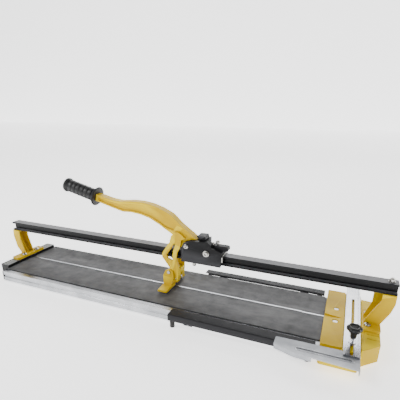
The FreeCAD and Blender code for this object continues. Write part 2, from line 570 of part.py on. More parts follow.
def lever():
    """Cast arm that forks round the rail and holds the scoring wheel and the breaker foot below it."""
    arm = Body("lever_arm")
    beam = [(-228.6, 302), (-224, 301), (-181, 291, 60), (-150, 288, 60), (-108, 293, 90), (-74, 293, 90),
            (-42, 289, 90), (-12, 280, 60), (20, 266, 40), (45, 243, 40), (60, 232), (77, 220), (98, 204, 3),
            (93, 198), (88, 184), (71, 173), (60, 190), (46, 190), (30, 196), (23, 210), (0, 223, 40),
            (-16, 233, 60), (-48, 249, 90), (-80, 257, 90), (-114, 260, 60), (-138, 258, 60),
            (-183, 269, 60), (-226, 280), (-233.8, 281.5)]
    arm.pad("XZ", "-arm_half", "arm_half", outline(beam))
    lug = [(50, 176), (63, 173.4), (78, 173.4), (88, 184), (93, 198), (98, 204, 3), (77, 220), (50, 228)]
    arm.pad("XZ", "-lug_half", "lug_half", outline(lug))
    neck = [(24, 210), (18, 192), (52, 192), (54, 200), (60, 203), (66, 206), (56, 215), (46, 222, 8),
            (34, 220, 6)]
    arm.pad("XZ", "-leg_outer", "leg_outer", outline(neck))
    leg = [(24, 210), (18, 190, 10), (-7, 153, 10), (-8, 141, 8), (1, 129, 6), (14, 112, 6), (24, 96, 6),
           (28, 70, 4), (41, 70, 4), (45, 103, 20), (45, 118, 20), (38, 140, 20), (41, 160, 20),
           (50, 177, 20), (53, 190), (52, 210)]
    for low, high in (("-leg_outer", "-leg_inner"), ("leg_inner", "leg_outer")):
        arm.pad("XZ", low, high, outline(leg))
        arm.pad("XZ", low, high, disc(D.pin_x, D.pin_z, 8))
    head = [(19, 108), (24, 96), (28, 70, 4), (41, 70, 4), (45, 103), (45, 108)]
    arm.pad("XZ", "-leg_outer + 1", "leg_outer - 1", outline(head))
    window = [(33, 190, 3), (21, 169, 6), (7, 149, 4), (10, 139, 3), (27, 133, 3), (26, 150), (29, 166),
              (37, 186, 2)]
    arm.cut("XZ", "-leg_outer - 1", "leg_outer + 1", outline(window))
    recess = [(-222, 294), (-181, 284.5, 60), (-150, 281.5, 60), (-108, 286, 90), (-74, 286, 90),
              (-42, 282, 90), (-12, 272, 60), (18, 257, 30), (38, 238, 5), (26, 222, 5), (0, 229, 30),
              (-16, 239, 60), (-48, 254, 90), (-80, 262, 90), (-114, 264.5, 60), (-138, 262.5, 60),
              (-183, 273.5, 60), (-222, 284)]
    for low, high in (("-arm_half - 1", "4 - arm_half"), ("arm_half - 4", "arm_half + 1")):
        arm.cut("XZ", low, high, outline(recess))
    arm.cut("XZ", "-30", "30", disc(D.pivot_x, D.pivot_z, 7))
    arm.cut("XZ", "-30", "30", disc(D.wheel_x, D.wheel_z, 2.5), disc(D.pin_x, D.pin_z, D.pin_radius))
    arm.cut("XY", "63", "92", rect(18, -3.2, 60, 3.2))
    arm.cut("XZ", "-tang_half", "tang_half", tang_side(D.tang_inside, 20))
    bush = cylinder("pivot_bush_tube", 7, "2 * lug_half", "pivot_x", "-lug_half", "pivot_z", "Y")
    bore = cylinder("pivot_bush_bore", "pivot_radius + running_gap", 40, "pivot_x", -20, "pivot_z", "Y")
    keep(subtract("pivot_bush", bush, bore))
    Body("handle_tang").pad("XZ", "-tang_half", "tang_half", tang_side(D.tang_inside, D.tang_outside))
    keep(cylinder("wheel_axle", 2.5, "2 * leg_outer - 1", "wheel_x", "0.5 - leg_outer", "wheel_z", "Y"))
    shaft = cylinder("foot_pin_shaft", "pin_radius", 59, "pin_x", -29.5, "pin_z", "Y")
    heads = []
    for number, y in enumerate((-30.5, 28)):
        heads.append(cylinder("foot_pin_head_%d" % number, 5, 2.5, "pin_x", y, "pin_z", "Y"))
    keep(fuse("foot_pin", shaft, *heads))


def handle_grip():
    """Moulded grip with a guard flange, pressed over the arm's tang."""
    grip = Body("handle_grip")
    end = D.grip_length
    points = [(0, 0), (D.guard_radius, 0, 2), (D.guard_radius - 3, 7, 3), (D.grip_radius + 1, 10, 3),
              (D.grip_radius, end - 6), (D.grip_radius + 3, end - 4, 2), (D.grip_radius + 3, end + 3, 3),
              (0, end + 3)]
    turned = grip.body.newObject("PartDesign::Revolution", "grip_revolution")
    turned.Profile = grip.sketch("XZ", [outline(points)], "0")
    turned.ReferenceAxis = (turned.Profile[0], ["V_Axis"])
    turned.Angle = 360
    grip.body.Tip = turned
    grip.cut("XZ", "-tang_half", "tang_half", rect(-D.tang_half, -1, D.tang_half, D.tang_outside))
    grip.body.Placement = Placement(GRIP_START, Rotation(Vector(0, 1, 0), GRIP_TILT - 90))


def scoring_wheel():
    """Carbide cutting disc with a bevelled rim, free on its axle."""
    lower = doc.addObject("Part::Cone", "wheel_front_bevel")
    upper = doc.addObject("Part::Cone", "wheel_rear_bevel")
    for cone, y, turn in ((lower, -2.4, -90), (upper, 2.4, 90)):
        bind(cone, "Radius1", "wheel_radius - 2.4")
        bind(cone, "Radius2", "wheel_radius")
        bind(cone, "Height", 2.4)
        cone.Placement = Placement(Vector(D.wheel_x, y, D.wheel_z), Rotation(Vector(1, 0, 0), turn))
    rim = fuse("wheel_solid", lower, upper)
    bore = cylinder("wheel_bore", 2.55, 10, "wheel_x", -5, "wheel_z", "Y")
    keep(subtract("scoring_wheel", rim, bore))


def breaker_foot():
    """Two-winged foot that hangs on a pin beside the wheel and presses both halves of the tile."""
    foot = Body("breaker_foot")
    wing = [(-62, 48, 1), (-7, 49), (-7, 53), (7, 53), (7, 49), (62, 48, 1), (62, 54, 2), (26, 57),
            (-26, 57), (-62, 54, 2)]
    foot.pad("YZ", "-4", "25", outline(wing))
    ear = [(-3, 50), (-4, 84, 4), (4, 101, 5), (16, 108, 8), (28, 101, 6), (31, 80, 4), (20, 50)]
    for low, high in (("-26.5", "-22"), ("22", "26.5")):
        foot.pad("XZ", low, high, outline(ear))
    foot.cut("XZ", "-30", "30", disc(D.pin_x, D.pin_z, D.pin_radius + D.running_gap))


def build():
    table_profile()
    pads_and_rib()
    end_stop_bar()
    feet()
    extension_guides()
    columns()
    guide_rail()
    fasteners()
    right_base()
    fence()
    clamp_knob()
    side_support("front", -1)
    side_support("rear", 1)
    carriage()
    carriage_fittings()
    lever()
    handle_grip()
    scoring_wheel()
    breaker_foot()


def verify():
    """Stop on a failed object, an invalid shape or a cut that removed nothing."""
    for obj in doc.Objects:
        if "Invalid" in obj.State or "Error" in obj.State:
            raise RuntimeError("%s failed: %s" % (obj.Name, obj.State))
    for body, feature in cuts:
        before = feature.BaseFeature.Shape.Volume
        if feature.Shape.Volume > before - 1e-3:
            raise RuntimeError("%s: %s cut nothing" % (body.Label, feature.Name))
    for piece in pieces:
        if piece.Shape.isNull() or not piece.Shape.isValid():
            raise RuntimeError("%s has no valid shape" % piece.Label)


build()
doc.recompute()
verify()
os.makedirs("parts", exist_ok=True)
for piece in pieces:
    piece.Shape.exportStep("parts/%s.step" % piece.Label)
    print("%-24s solids %d  volume %.0f" % (piece.Label, len(piece.Shape.Solids), piece.Shape.Volume))
print(len(pieces), "sub-parts")
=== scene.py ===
"""Looks of a manual tile cutter: finishes, turned hardware, moulded grip and knob, printed scales.

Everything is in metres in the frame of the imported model: +X along the rail, +Y to the back, +Z up.
"""
import json
import math
import bmesh
import bpy
from mathutils import Matrix, Vector


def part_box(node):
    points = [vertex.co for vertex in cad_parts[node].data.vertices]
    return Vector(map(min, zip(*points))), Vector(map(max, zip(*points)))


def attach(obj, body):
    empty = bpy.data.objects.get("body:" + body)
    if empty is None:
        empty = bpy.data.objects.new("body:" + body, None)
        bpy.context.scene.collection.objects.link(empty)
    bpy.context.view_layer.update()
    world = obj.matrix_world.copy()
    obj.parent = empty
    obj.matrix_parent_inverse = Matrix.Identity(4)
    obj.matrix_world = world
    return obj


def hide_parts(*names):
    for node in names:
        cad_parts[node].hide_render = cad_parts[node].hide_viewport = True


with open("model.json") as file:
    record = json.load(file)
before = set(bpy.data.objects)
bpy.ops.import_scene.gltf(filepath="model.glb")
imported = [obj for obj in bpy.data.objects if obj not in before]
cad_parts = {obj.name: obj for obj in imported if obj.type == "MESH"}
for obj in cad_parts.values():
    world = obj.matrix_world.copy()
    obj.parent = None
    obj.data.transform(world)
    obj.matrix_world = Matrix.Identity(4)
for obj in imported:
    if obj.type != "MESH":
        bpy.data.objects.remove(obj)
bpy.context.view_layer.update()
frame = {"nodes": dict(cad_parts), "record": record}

MM = 0.001
BODY_OF = {node: body for body, nodes in frame["record"]["behaviour"]["bodies"].items() for node in nodes}
SLOT_OF = {part["node"]: part["material_slot"] for part in frame["record"]["subparts"]}
UP = Vector((0, 0, 1))


# ------------------------------------------------------------------ shader helpers
DRAWN_GRAIN = 900
ALONG_X = (0.01, 1.0, 1.0)
ALONG_Y = (1.0, 0.01, 1.0)
EVEN = (1.0, 1.0, 1.0)


class Finish:
    """A Principled material with short helpers for the nodes that give it grain, wear and bump."""

    def __init__(self, name, roughness=0.4, metallic=0.0, specular=0.5, coat=0.0, coat_roughness=0.1):
        self.material = bpy.data.materials.new(name)
        self.material.use_nodes = True
        self.tree = self.material.node_tree
        self.nodes = self.tree.nodes
        self.shader = self.nodes["Principled BSDF"]
        self.shader.inputs["Metallic"].default_value = metallic
        self.shader.inputs["Roughness"].default_value = roughness
        self.shader.inputs["Specular IOR Level"].default_value = specular
        self.shader.inputs["Coat Weight"].default_value = coat
        self.shader.inputs["Coat Roughness"].default_value = coat_roughness
        self.coords = self.nodes.new("ShaderNodeTexCoord").outputs["Object"]
        self.normal = None

    def link(self, source, target):
        self.tree.links.new(source, target)

    def stretched(self, scale):
        mapping = self.nodes.new("ShaderNodeMapping")
        mapping.inputs["Scale"].default_value = scale
        self.link(self.coords, mapping.inputs["Vector"])
        return mapping.outputs["Vector"]

    def noise(self, scale, detail=4.0, roughness=0.55, stretch=None):
        texture = self.nodes.new("ShaderNodeTexNoise")
        texture.inputs["Scale"].default_value = scale
        texture.inputs["Detail"].default_value = detail
        texture.inputs["Roughness"].default_value = roughness
        self.link(self.stretched(stretch) if stretch else self.coords, texture.inputs["Vector"])
        return texture.outputs["Fac"]

    def cells(self, scale):
        texture = self.nodes.new("ShaderNodeTexVoronoi")
        texture.inputs["Scale"].default_value = scale
        self.link(self.coords, texture.inputs["Vector"])
        return texture.outputs["Distance"]

    def spread(self, source, low, high, to_low=0.0, to_high=1.0):
        node = self.nodes.new("ShaderNodeMapRange")
        for label, value in (("From Min", low), ("From Max", high), ("To Min", to_low), ("To Max", to_high)):
            node.inputs[label].default_value = value
        self.link(source, node.inputs["Value"])
        return node.outputs["Result"]

    def blend(self, factor, first, second):
        node = self.nodes.new("ShaderNodeMix")
        node.data_type = "RGBA"
        self.link(factor, node.inputs["Factor"])
        for socket, value in ((node.inputs["A"], first), (node.inputs["B"], second)):
            if isinstance(value, tuple):
                socket.default_value = value + (1.0,)
            else:
                self.link(value, socket)
        return node.outputs["Result"]

    def edges(self, low=0.52, high=0.60):
        """Rises along the outer edges; drives a painted edge highlight."""
        return self.spread(self.nodes.new("ShaderNodeNewGeometry").outputs["Pointiness"], low, high)

    def colour(self, source):
        self.link(source, self.shader.inputs["Base Color"])

    def rough(self, source):
        self.link(source, self.shader.inputs["Roughness"])

    def bump(self, height, strength, distance):
        node = self.nodes.new("ShaderNodeBump")
        node.inputs["Strength"].default_value = strength
        node.inputs["Distance"].default_value = distance
        self.link(height, node.inputs["Height"])
        if self.normal is not None:
            self.link(self.normal, node.inputs["Normal"])
        self.normal = node.outputs["Normal"]
        self.link(self.normal, self.shader.inputs["Normal"])


def powder_coat(name, main, shade, edge, roughness, grain=0.25):
    """Powder coat on a casting: slight orange peel, uneven tone, and a painted highlight that lightens the
    outer edges.
    """
    finish = Finish(name, roughness=roughness, specular=0.14)
    tone = finish.blend(finish.spread(finish.noise(14, 5), 0.35, 0.7), main, shade)
    # Painted highlight: the edge colour lightens the outer edges where light would catch them.
    finish.colour(finish.blend(finish.edges(), tone, edge))
    finish.rough(finish.spread(finish.noise(60, 3), 0.3, 0.7, roughness - 0.07, roughness + 0.09))
    finish.bump(finish.noise(420, 3), grain, 0.0005)
    finish.bump(finish.noise(60, 2), grain * 0.6, 0.0012)
    return finish.material


def bed_rubber():
    """Cellular rubber sheet: mottled, with fine pores darkened by painted shade, and faint smears from tiles
    dragged over it.
    """
    finish = Finish("cellular_rubber", roughness=0.66, specular=0.3)
    mottled = finish.blend(finish.spread(finish.noise(26, 8, 0.7), 0.35, 0.68),
                           (0.060, 0.060, 0.062), (0.105, 0.105, 0.107))
    smeared = finish.blend(finish.spread(finish.noise(9, 5, 0.6, (0.5, 2.2, 1.0)), 0.55, 0.8),
                           mottled, (0.15, 0.15, 0.15))
    pores = finish.cells(520)
    # Painted shade: the pores are darkened towards near black, for the shade inside them.
    finish.colour(finish.blend(finish.spread(pores, 0.0, 0.25, 0.45, 0.0), smeared, (0.03, 0.03, 0.03)))
    finish.rough(finish.spread(finish.noise(40, 4), 0.3, 0.7, 0.5, 0.72))
    finish.bump(pores, 0.35, 0.0004)
    return finish.material


def drawn_metal(name, light, dark, roughness, stretch):
    """Extruded or brushed metal with streaks along one direction."""
    finish = Finish(name, roughness=roughness, metallic=1.0)
    streaks = finish.noise(DRAWN_GRAIN, 3, 0.6, stretch)
    cloudy = finish.noise(18, 4)
    finish.colour(finish.blend(finish.spread(cloudy, 0.35, 0.7), light, dark))
    finish.rough(finish.spread(streaks, 0.3, 0.7, roughness - 0.08, roughness + 0.1))
    finish.bump(streaks, 0.05, 0.0001)
    return finish.material


def moulded(name, main, roughness, grain=0.3):
    """Moulded plastic or rubber with a fine spark-eroded texture and dust in the low spots."""
    finish = Finish(name, roughness=roughness, specular=0.32)
    dusty = tuple(min(1.0, channel * 1.9 + 0.008) for channel in main)
    finish.colour(finish.blend(finish.spread(finish.noise(35, 6), 0.52, 0.85), main, dusty))
    finish.rough(finish.spread(finish.noise(90, 3), 0.3, 0.7, roughness - 0.08, roughness + 0.1))
    finish.bump(finish.noise(1500, 2), grain, 0.0002)
    return finish.material


def rail_black():
    """Black anodising, with a painted paler sheen on the faces that look up, standing for the bright
    surroundings reflected in the glossy top.
    """
    finish = Finish("black_anodised", roughness=0.34, specular=0.16)
    normal = finish.nodes.new("ShaderNodeSeparateXYZ")
    finish.link(finish.nodes.new("ShaderNodeNewGeometry").outputs["Normal"], normal.inputs["Vector"])
    # Painted reflection: faces that look up are lightened in streaks along the rail, for the bright
    # surroundings mirrored in the glossy black.
    facing_up = finish.spread(normal.outputs["Z"], 0.9, 0.98)
    painted_sheen_streaks = finish.spread(finish.noise(9, 3, 0.5, (1.0, 0.2, 0.2)), 0.3, 0.7, 0.55, 1.0)
    painted_sheen_mask = finish.nodes.new("ShaderNodeMath")
    painted_sheen_mask.operation = "MULTIPLY"
    finish.link(facing_up, painted_sheen_mask.inputs[0])
    finish.link(painted_sheen_streaks, painted_sheen_mask.inputs[1])
    finish.colour(finish.blend(painted_sheen_mask.outputs["Value"], (0.006, 0.006, 0.007), (0.15, 0.15, 0.16)))
    finish.bump(finish.noise(DRAWN_GRAIN, 3, 0.6, ALONG_X), 0.05, 0.0001)
    return finish.material


# Each finish: main tone, darker tone mixed at random, and the paler colour painted on outer edges as a
# highlight.
YELLOW = ((0.66, 0.43, 0.0), (0.57, 0.355, 0.0), (0.82, 0.60, 0.01))
GREY = ((0.011, 0.011, 0.012), (0.007, 0.007, 0.008), (0.04, 0.04, 0.044))

FINISHES = {
    "bed_aluminium": drawn_metal("mill_aluminium", (0.52, 0.53, 0.55), (0.34, 0.35, 0.37), 0.3, ALONG_X),
    "pad_rubber": bed_rubber(),
    "black_bar": rail_black(),
    "scale_strip": moulded("printed_strip", (0.26, 0.27, 0.26), 0.5, 0.1),
    "black_plastic": moulded("black_moulding", (0.012, 0.012, 0.013), 0.3),
    "foot_rubber": moulded("foot_rubber", (0.02, 0.02, 0.02), 0.6),
    "yellow_casting": powder_coat("yellow_powder_coat", *YELLOW, 0.38),
    "zinc_steel": drawn_metal("zinc_plate", (0.5, 0.49, 0.46), (0.34, 0.33, 0.31), 0.24, EVEN),
    "ruler_aluminium": drawn_metal("bright_aluminium", (0.66, 0.67, 0.69), (0.5, 0.51, 0.54), 0.26, ALONG_Y),
    "arm_sheet": drawn_metal("brushed_sheet", (0.42, 0.43, 0.45), (0.25, 0.26, 0.28), 0.36, ALONG_X),
    "ground_steel": drawn_metal("ground_steel", (0.6, 0.61, 0.62), (0.5, 0.5, 0.52), 0.22, EVEN),
    "brass_part": drawn_metal("turned_brass", (0.72, 0.53, 0.22), (0.6, 0.42, 0.16), 0.28, EVEN),
    "grey_casting": powder_coat("dark_grey_powder_coat", *GREY, 0.45),
    "grip_rubber": moulded("grip_rubber", (0.014, 0.014, 0.015), 0.42, 0.5),
}
INK = moulded("scale_ink", (0.02, 0.02, 0.02), 0.5, 0.1)


# ------------------------------------------------------------------ mesh helpers
def piece(name, mesh, material, body, slot, *nodes):
    """Link a finished mesh as a visible piece that rides on a body and stands for some nodes."""
    made = bpy.data.objects.new(name, mesh)
    bpy.context.scene.collection.objects.link(made)
    mesh.materials.clear()
    mesh.materials.append(material)
    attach(made, body)
    if nodes:
        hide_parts(*nodes)
    return made


def stand_in(name, mesh, node):
    """A piece that replaces one node and takes that node's body and the finish of its slot."""
    return piece(name, mesh, FINISHES[SLOT_OF[node]], BODY_OF[node], SLOT_OF[node], node)


def smooth(mesh, angle=35):
    mesh.polygons.foreach_set("use_smooth", [True] * len(mesh.polygons))
    mesh.set_sharp_from_angle(angle=math.radians(angle))
    return mesh


def welded(node):
    """A merged copy of a node's mesh with its flat faces whole."""
    grid = bmesh.new()
    grid.from_mesh(frame["nodes"][node].data)
    bmesh.ops.remove_doubles(grid, verts=grid.verts, dist=2e-6)
    bmesh.ops.dissolve_limit(grid, angle_limit=math.radians(0.4), verts=grid.verts, edges=grid.edges)
    return grid


def solids(node):
    """(lowest, highest) corner of each separate solid of a node, in order along X then Y."""
    grid = welded(node)
    found = []
    left = set(grid.verts)
    while left:
        stack = [left.pop()]
        members = []
        while stack:
            vert = stack.pop()
            members.append(vert.co.copy())
            for edge in vert.link_edges:
                other = edge.other_vert(vert)
                if other in left:
                    left.remove(other)
                    stack.append(other)
        low = Vector([min(v[i] for v in members) for i in range(3)])
        high = Vector([max(v[i] for v in members) for i in range(3)])
        found.append((low, high))
    grid.free()
    return sorted(found, key=lambda pair: (round(pair[0].x, 4), round(pair[0].y, 4)))


def softened(node, width=0.6 * MM, segments=2):
    """The node's shape with its sharp edges rounded, as a casting or a deburred part has them."""
    grid = welded(node)
    mesh = bpy.data.meshes.new(node + "_soft")
    grid.to_mesh(mesh)
    grid.free()
    smooth(mesh, 32)
    holder = bpy.data.objects.new(node + "_holder", mesh)
    bpy.context.scene.collection.objects.link(holder)
    bevel = holder.modifiers.new("rounded_edges", "BEVEL")
    bevel.width = width
    bevel.segments = segments
    bevel.limit_method = "ANGLE"
    bevel.angle_limit = math.radians(32)
    bevel.use_clamp_overlap = True
    bevel.miter_outer = "MITER_ARC"
    evened = holder.modifiers.new("flat_faces_stay_flat", "WEIGHTED_NORMAL")
    evened.mode = "FACE_AREA"
    evened.weight = 100
    evened.keep_sharp = True
    graph = bpy.context.evaluated_depsgraph_get()
    result = bpy.data.meshes.new_from_object(holder.evaluated_get(graph))
    bpy.data.objects.remove(holder)
    return stand_in(node + "_finished", result, node)


def turned(profile, place=Matrix.Identity(4), steps=48, into=None):
    """Turn a profile of (radius, height, kind) rings about local Z; kind is round, hex or lobes."""
    grid = into or bmesh.new()
    rings = []
    fresh = []
    for radius, height, kind in profile:
        if radius == 0:
            ring = [grid.verts.new((0, 0, height))]
        else:
            ring = []
            for index in range(steps):
                angle = math.tau * index / steps
                reach = radius * SECTIONS[kind](angle)
                ring.append(grid.verts.new((reach * math.cos(angle), reach * math.sin(angle), height)))
        rings.append(ring)
        fresh += ring
    faces = []
    for low, high in zip(rings, rings[1:]):
        for index in range(steps):
            following = (index + 1) % steps
            if len(low) == 1:
                corners = [low[0], high[index], high[following]]
            elif len(high) == 1:
                corners = [low[index], low[following], high[0]]
            else:
                corners = [low[index], low[following], high[following], high[index]]
            faces.append(grid.faces.new(corners))
    bmesh.ops.recalc_face_normals(grid, faces=faces)
    bmesh.ops.transform(grid, matrix=place, verts=fresh)
    return grid


def hexagon(angle):
    return math.cos(math.pi / 6) / math.cos(angle % (math.pi / 3) - math.pi / 6)


def lobes(angle):
    return 1.0 - 0.13 * (0.5 - 0.5 * math.cos(6 * angle)) ** 1.6


SECTIONS = {"round": lambda angle: 1.0, "hex": hexagon, "lobes": lobes}


def meshed(name, grid, angle=35):
    mesh = bpy.data.meshes.new(name)
    grid.to_mesh(mesh)
    grid.free()
    return smooth(mesh, angle)


def pointing(at, direction):
    """Matrix that puts the local origin at a place with local +Z along a direction."""
    return Matrix.Translation(at) @ direction.to_track_quat("Z", "Y").to_matrix().to_4x4()


# ------------------------------------------------------------------ repeated details by node tree
class Grower:
    """A geometry node tree with named inputs, whose result becomes a plain mesh."""

    def __init__(self, name, **inputs):
        self.tree = bpy.data.node_groups.new(name, "GeometryNodeTree")
        self.tree.interface.new_socket("Geometry", in_out="OUTPUT", socket_type="NodeSocketGeometry")
        self.values = inputs
        self.keys = {}
        for label, value in inputs.items():
            kind = {int: "NodeSocketInt", float: "NodeSocketFloat"}.get(type(value), "NodeSocketVector")
            socket = self.tree.interface.new_socket(label, in_out="INPUT", socket_type=kind)
            self.keys[label] = socket.identifier
        self.given = self.tree.nodes.new("NodeGroupInput").outputs

    def node(self, kind, links=(), **settings):
        made = self.tree.nodes.new(kind)
        for key, value in settings.items():
            setattr(made, key, value)
        for label, source in dict(links).items():
            if isinstance(source, bpy.types.NodeSocket):
                self.tree.links.new(source, made.inputs[label])
            else:
                made.inputs[label].default_value = source
        return made.outputs

    def mesh(self, instances, material):
        solid = self.node("GeometryNodeRealizeInstances", {"Geometry": instances})["Geometry"]
        coated = self.node("GeometryNodeSetMaterial", {"Geometry": solid, "Material": material})["Geometry"]
        end = self.tree.nodes.new("NodeGroupOutput")
        self.tree.links.new(coated, end.inputs["Geometry"])
        holder = bpy.data.objects.new(self.tree.name + "_holder", bpy.data.meshes.new("empty"))
        bpy.context.scene.collection.objects.link(holder)
        modifier = holder.modifiers.new("grow", "NODES")
        modifier.node_group = self.tree
        for label, value in self.values.items():
            modifier[self.keys[label]] = value
        holder.update_tag()
        graph = bpy.context.evaluated_depsgraph_get()
        result = bpy.data.meshes.new_from_object(holder.evaluated_get(graph))
        bpy.data.objects.remove(holder)
        return result


def tick_row(name, start, step, count, size, body, slot):
    """Scale marks: one bar a step, every tenth one full length and every fifth one in between."""
    grow = Grower(name, Start=start, Step=step, Count=count, Size=size)
    line = grow.node("GeometryNodeMeshLine", {"Count": grow.given["Count"],
                                              "Start Location": grow.given["Start"],
                                              "Offset": grow.given["Step"]})["Mesh"]
    number = grow.node("GeometryNodeInputIndex")["Index"]
    length = 0.45
    for every, share in ((5, 0.25), (10, 0.3)):
        left = grow.node("ShaderNodeMath", {0: number, 1: float(every)}, operation="MODULO")["Value"]
        hit = grow.node("ShaderNodeMath", {0: left, 1: 0.5}, operation="LESS_THAN")["Value"]
        added = grow.node("ShaderNodeMath", {0: hit, 1: share}, operation="MULTIPLY")["Value"]
        length = grow.node("ShaderNodeMath", {0: added, 1: length}, operation="ADD")["Value"]
    scale = grow.node("ShaderNodeCombineXYZ", {"X": length, "Y": 1.0, "Z": 1.0})["Vector"]
    bar = grow.node("GeometryNodeMeshCube", {"Size": grow.given["Size"]})["Mesh"]
    marks = grow.node("GeometryNodeInstanceOnPoints", {"Points": line, "Instance": bar, "Scale": scale})
    return piece(name, grow.mesh(marks["Instances"], INK), INK, body, slot)


# ------------------------------------------------------------------ hardware
SOCKET_SHARE = 0.55


def screw_head(radius, height, kind):
    """Profile of a cap or dome head from its seat up, with a hex socket."""
    key = radius * SOCKET_SHARE
    if kind == "cap":
        return [(0, 0, "round"), (radius * 0.97, 0, "round"), (radius, height * 0.06, "round"),
                (radius, height * 0.9, "round"), (radius * 0.94, height, "round"),
                (key * 1.1, height, "round"),
                (key, height * 0.97, "hex"), (key, height * 0.3, "hex"), (0, height * 0.25, "round")]
    dome = [(0, 0, "round"), (radius * 0.98, 0, "round"), (radius, height * 0.12, "round")]
    for index in range(1, 7):
        angle = math.radians(13 * index)
        dome.append((radius * math.cos(angle) ** 0.8, height * (0.12 + 0.88 * math.sin(angle)), "round"))
    top = dome[-1][1]
    return dome + [(key, top, "hex"), (key * 0.96, height * 0.25, "hex"), (0, height * 0.2, "round")]


def screws(node, direction, height, kind="dome", washer=0.0):
    """Replace a group of screws: heads with hex sockets, over plain shanks that fill their holes."""
    grid = bmesh.new()
    axis = [abs(part) for part in direction].index(1)
    for low, high in solids(node):
        centre = (low + high) / 2
        outer = high if direction[axis] > 0 else low
        inner = low if direction[axis] > 0 else high
        across = (axis + 1) % 3
        radius = (high[across] - low[across]) / 2
        length = abs(outer[axis] - inner[axis]) - height - washer
        seat = centre.copy()
        seat[axis] = outer[axis] - direction[axis] * height
        head_radius = radius * (0.74 if washer else 1.0)
        place = pointing(seat, direction)
        turned(screw_head(head_radius, height, kind), place, 48, grid)
        if washer:
            rim = [(0, -washer, "round"), (radius * 0.98, -washer, "round"), (radius, -washer * 0.8, "round"),
                   (radius, -washer * 0.2, "round"), (radius * 0.97, 0, "round"), (0, 0, "round")]
            turned(rim, place, 48, grid)
        shank = head_radius * 0.42
        if length > 0:
            stem = [(0, -washer, "round"), (shank, -washer, "round"), (shank, -washer - length, "round"),
                    (0, -washer - length, "round")]
            turned(stem, place, 24, grid)
    return stand_in(node + "_turned", meshed(node + "_turned", grid), node)


def rail_nut():
    """Hex nut on a washer over the rail's right end, with the bolt's tip showing."""
    grid = bmesh.new()
    for low, high in solids("rail_nut"):
        centre = (low + high) / 2
        place = pointing(Vector((centre.x, centre.y, low.z)), UP)
        wide = (high.y - low.y) / 2
        washer = [(0.003, 0, "round"), (wide * 0.98, 0, "round"), (wide, 0.0003, "round"),
                  (wide, 0.0013, "round"), (wide * 0.97, 0.0016, "round"), (0.003, 0.0016, "round")]
        turned(washer, place, 48, grid)
        key = 0.0068
        nut = [(0.0031, 0.0017, "round"), (key * 0.9, 0.0017, "round"), (key, 0.0023, "hex"),
               (key, 0.0069, "hex"), (key * 0.88, 0.0076, "round"), (0.0036, 0.0076, "round"),
               (0.0031, 0.0071, "round")]
        turned(nut, place, 48, grid)
    stand_in("rail_nut_turned", meshed("rail_nut_turned", grid, 28), "rail_nut")


def clamp_knob():
    """Six-lobed hand knob: dished top, rounded rim, tapered hub."""
    low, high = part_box("clamp_knob")
    centre = (low + high) / 2
    tall = high.z - low.z
    wide = (high.x - low.x) / 2
    profile = [(0, 0, "round"), (0.0058, 0, "round"), (0.0065, 0.0008, "round"), (0.0070, 0.0070, "round"),
               (0.0090, tall - 0.0130, "round"), (wide * 0.70, tall - 0.0118, "lobes"),
               (wide * 0.93, tall - 0.0106, "lobes"), (wide, tall - 0.0080, "lobes"),
               (wide, tall - 0.0040, "lobes"), (wide * 0.95, tall - 0.0018, "lobes"),
               (wide * 0.84, tall - 0.0005, "lobes"), (wide * 0.66, tall, "round"),
               (wide * 0.50, tall - 0.0006, "round"), (wide * 0.46, tall - 0.0018, "round"),
               (0, tall - 0.0019, "round")]
    place = pointing(Vector((centre.x, centre.y, low.z)), UP)
    mesh = meshed("clamp_knob_moulded", turned(profile, place, 144), 50)
    stand_in("clamp_knob_moulded", mesh, "clamp_knob")


def clamp_stud():
    """Threaded stud: a stack of thread crests on the plain core."""
    low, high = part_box("clamp_stud")
    radius = (high.x - low.x) / 2
    profile = [(0, 0, "round"), (radius * 0.8, 0, "round")]
    pitch = 0.001
    for index in range(int((high.z - low.z - 0.002) / pitch)):
        at = 0.001 + index * pitch
        profile += [(radius * 0.84, at, "round"), (radius, at + pitch * 0.5, "round")]
    profile += [(radius * 0.84, high.z - low.z - 0.0008, "round"), (0, high.z - low.z, "round")]
    place = pointing(Vector(((low.x + high.x) / 2, (low.y + high.y) / 2, low.z)), UP)
    mesh = meshed("clamp_stud_threaded", turned(profile, place, 32), 20)
    stand_in("clamp_stud_threaded", mesh, "clamp_stud")


GRIP_TILT = math.radians(13.9)
GRIP_START = Vector((-0.2315, 0.0, 0.2922))
GRIP_AXIS = Vector((-math.cos(GRIP_TILT), 0.0, math.sin(GRIP_TILT)))
GRIP_BANDS = 6
GRIP_BAND = 14.6
GRIP_BAND_START = 15.5
GRIP_DASH_ROW = 10


